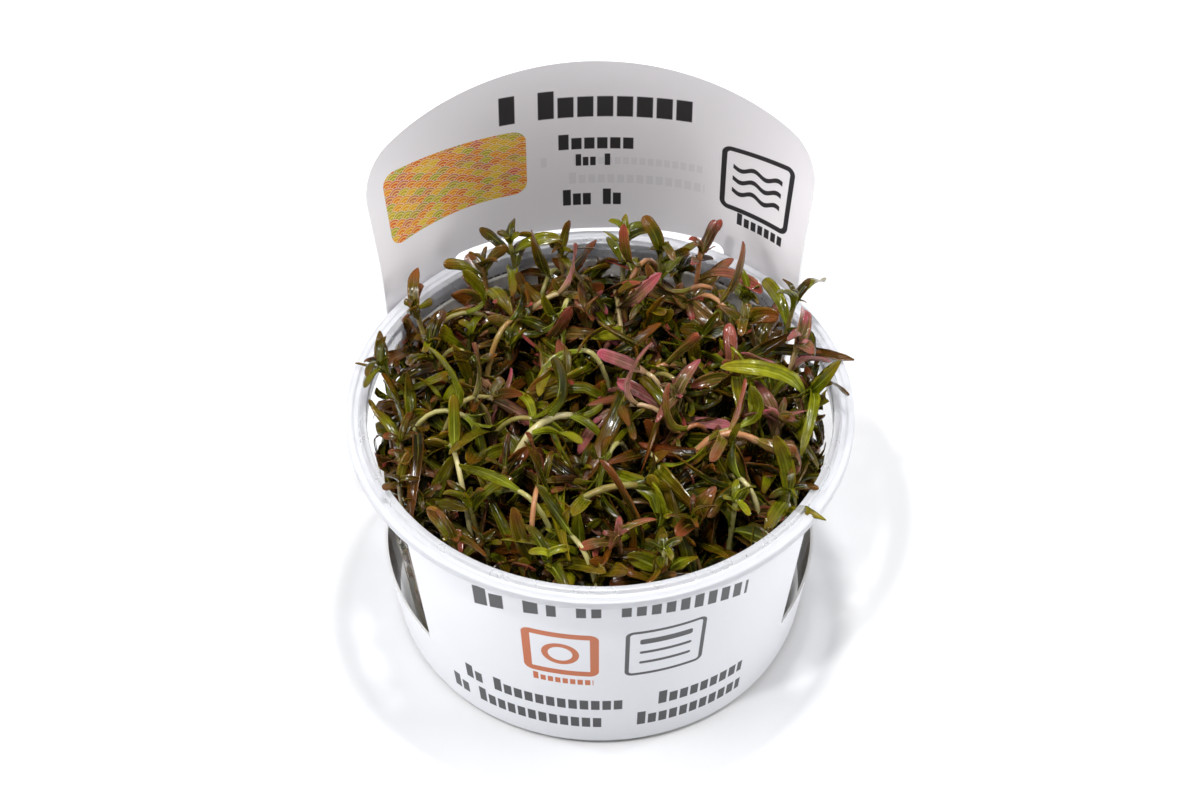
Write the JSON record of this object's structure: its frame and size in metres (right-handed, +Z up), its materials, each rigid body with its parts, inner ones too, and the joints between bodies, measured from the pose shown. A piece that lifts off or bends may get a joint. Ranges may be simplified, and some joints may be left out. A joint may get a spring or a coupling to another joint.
{
  "type": "potted rotala",
  "caption": "Rotala sprigs in a clear culture cup, which stands in a white card sleeve with a tall arched header.",
  "frame": {"origin": "middle of the cup's flat base, on the surface that it stands on", "axes": "+Z up; the card's front panel faces -Y and its tall header stands at +Y"},
  "size_m": [0.1006, 0.1021, 0.1032],
  "materials": {
    "clear_plastic": "clear, glossy",
    "white_card": null,
    "culture_gel": "cloudy gel",
    "olive_leaf": "wet, glossy",
    "brown_leaf": "wet, glossy",
    "red_leaf": "wet, glossy",
    "pink_leaf": "wet, glossy",
    "lime_leaf": "wet, glossy"
  },
  "bodies": {
    "root": {"cup": "clear_plastic", "label_sleeve": "white_card", "nutrient_gel": "culture_gel", "sprig_01": "olive_leaf", "sprig_02": "brown_leaf", "sprig_03": "brown_leaf", "sprig_04": "olive_leaf", "sprig_05": "brown_leaf", "sprig_06": "lime_leaf", "sprig_07": "olive_leaf", "sprig_08": "red_leaf", "sprig_09": "lime_leaf", "sprig_10": "olive_leaf", "sprig_11": "pink_leaf", "sprig_12": "olive_leaf", "sprig_13": "brown_leaf", "sprig_14": "lime_leaf", "sprig_15": "lime_leaf", "sprig_16": "red_leaf", "sprig_17": "olive_leaf", "sprig_18": "lime_leaf", "sprig_19": "lime_leaf", "sprig_20": "pink_leaf", "sprig_21": "pink_leaf", "sprig_22": "red_leaf", "sprig_23": "olive_leaf", "sprig_24": "olive_leaf", "sprig_25": "brown_leaf", "sprig_26": "olive_leaf", "sprig_27": "red_leaf", "sprig_28": "brown_leaf", "sprig_29": "olive_leaf", "sprig_30": "olive_leaf", "sprig_31": "brown_leaf", "sprig_32": "olive_leaf", "sprig_33": "red_leaf", "sprig_34": "brown_leaf", "sprig_35": "red_leaf", "sprig_36": "brown_leaf", "sprig_37": "olive_leaf", "sprig_38": "olive_leaf", "sprig_39": "brown_leaf", "sprig_40": "olive_leaf", "sprig_41": "red_leaf", "sprig_42": "brown_leaf", "sprig_43": "olive_leaf", "sprig_44": "olive_leaf", "sprig_45": "brown_leaf", "sprig_46": "olive_leaf", "sprig_47": "red_leaf", "sprig_48": "brown_leaf", "sprig_49": "olive_leaf", "sprig_50": "olive_leaf", "sprig_51": "brown_leaf", "sprig_52": "olive_leaf", "sprig_53": "red_leaf", "sprig_54": "brown_leaf", "sprig_55": "olive_leaf", "sprig_56": "olive_leaf"}
  },
  "joints": []
}
